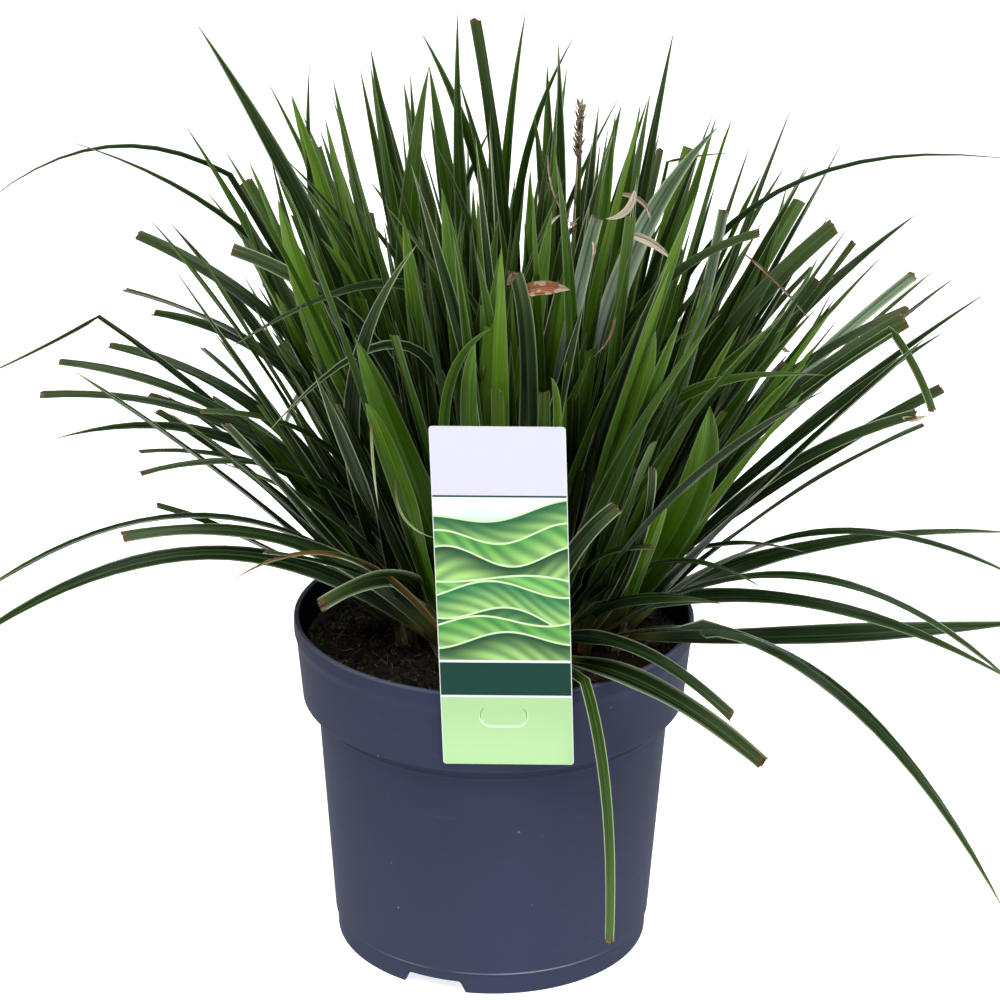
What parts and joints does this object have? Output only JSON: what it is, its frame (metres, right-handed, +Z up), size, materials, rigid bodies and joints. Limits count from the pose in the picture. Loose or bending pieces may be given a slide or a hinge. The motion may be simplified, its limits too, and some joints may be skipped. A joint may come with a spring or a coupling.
{
  "type": "potted sedge",
  "caption": "Dense clump of arching, pale-edged sedge leaves growing in soil in a round plastic nursery pot, with a plain card label at the rim.",
  "frame": {"origin": "middle of the pot's base, on the surface that the pot stands on", "axes": "+Z up along the pot's axis; the label's printed face looks along -Y; +X to the right seen from the label's side"},
  "size_m": [0.4949, 0.427, 0.442],
  "materials": {
    "pot_plastic": "satin",
    "potting_soil": "matte",
    "label_card": "gloss",
    "dry_spike": "matte",
    "leaf": "satin"
  },
  "bodies": {
    "root": {"pot": "pot_plastic", "soil": "potting_soil", "label": "label_card", "flower_spike": "dry_spike", "stem_01": "leaf", "stem_02": "leaf", "stem_03": "leaf", "stem_04": "leaf", "stem_05": "leaf", "stem_06": "leaf", "stem_07": "leaf", "stem_08": "leaf", "stem_09": "leaf", "stem_10": "leaf", "stem_11": "leaf", "stem_12": "leaf", "stem_13": "leaf", "stem_14": "leaf", "stem_15": "leaf", "stem_16": "leaf", "stem_17": "leaf", "stem_18": "leaf", "stem_19": "leaf", "stem_20": "leaf", "stem_21": "leaf", "stem_22": "leaf", "stem_23": "leaf", "stem_24": "leaf", "stem_25": "leaf", "stem_26": "leaf", "stem_27": "leaf", "stem_28": "leaf", "stem_29": "leaf", "stem_30": "leaf"}
  },
  "joints": []
}
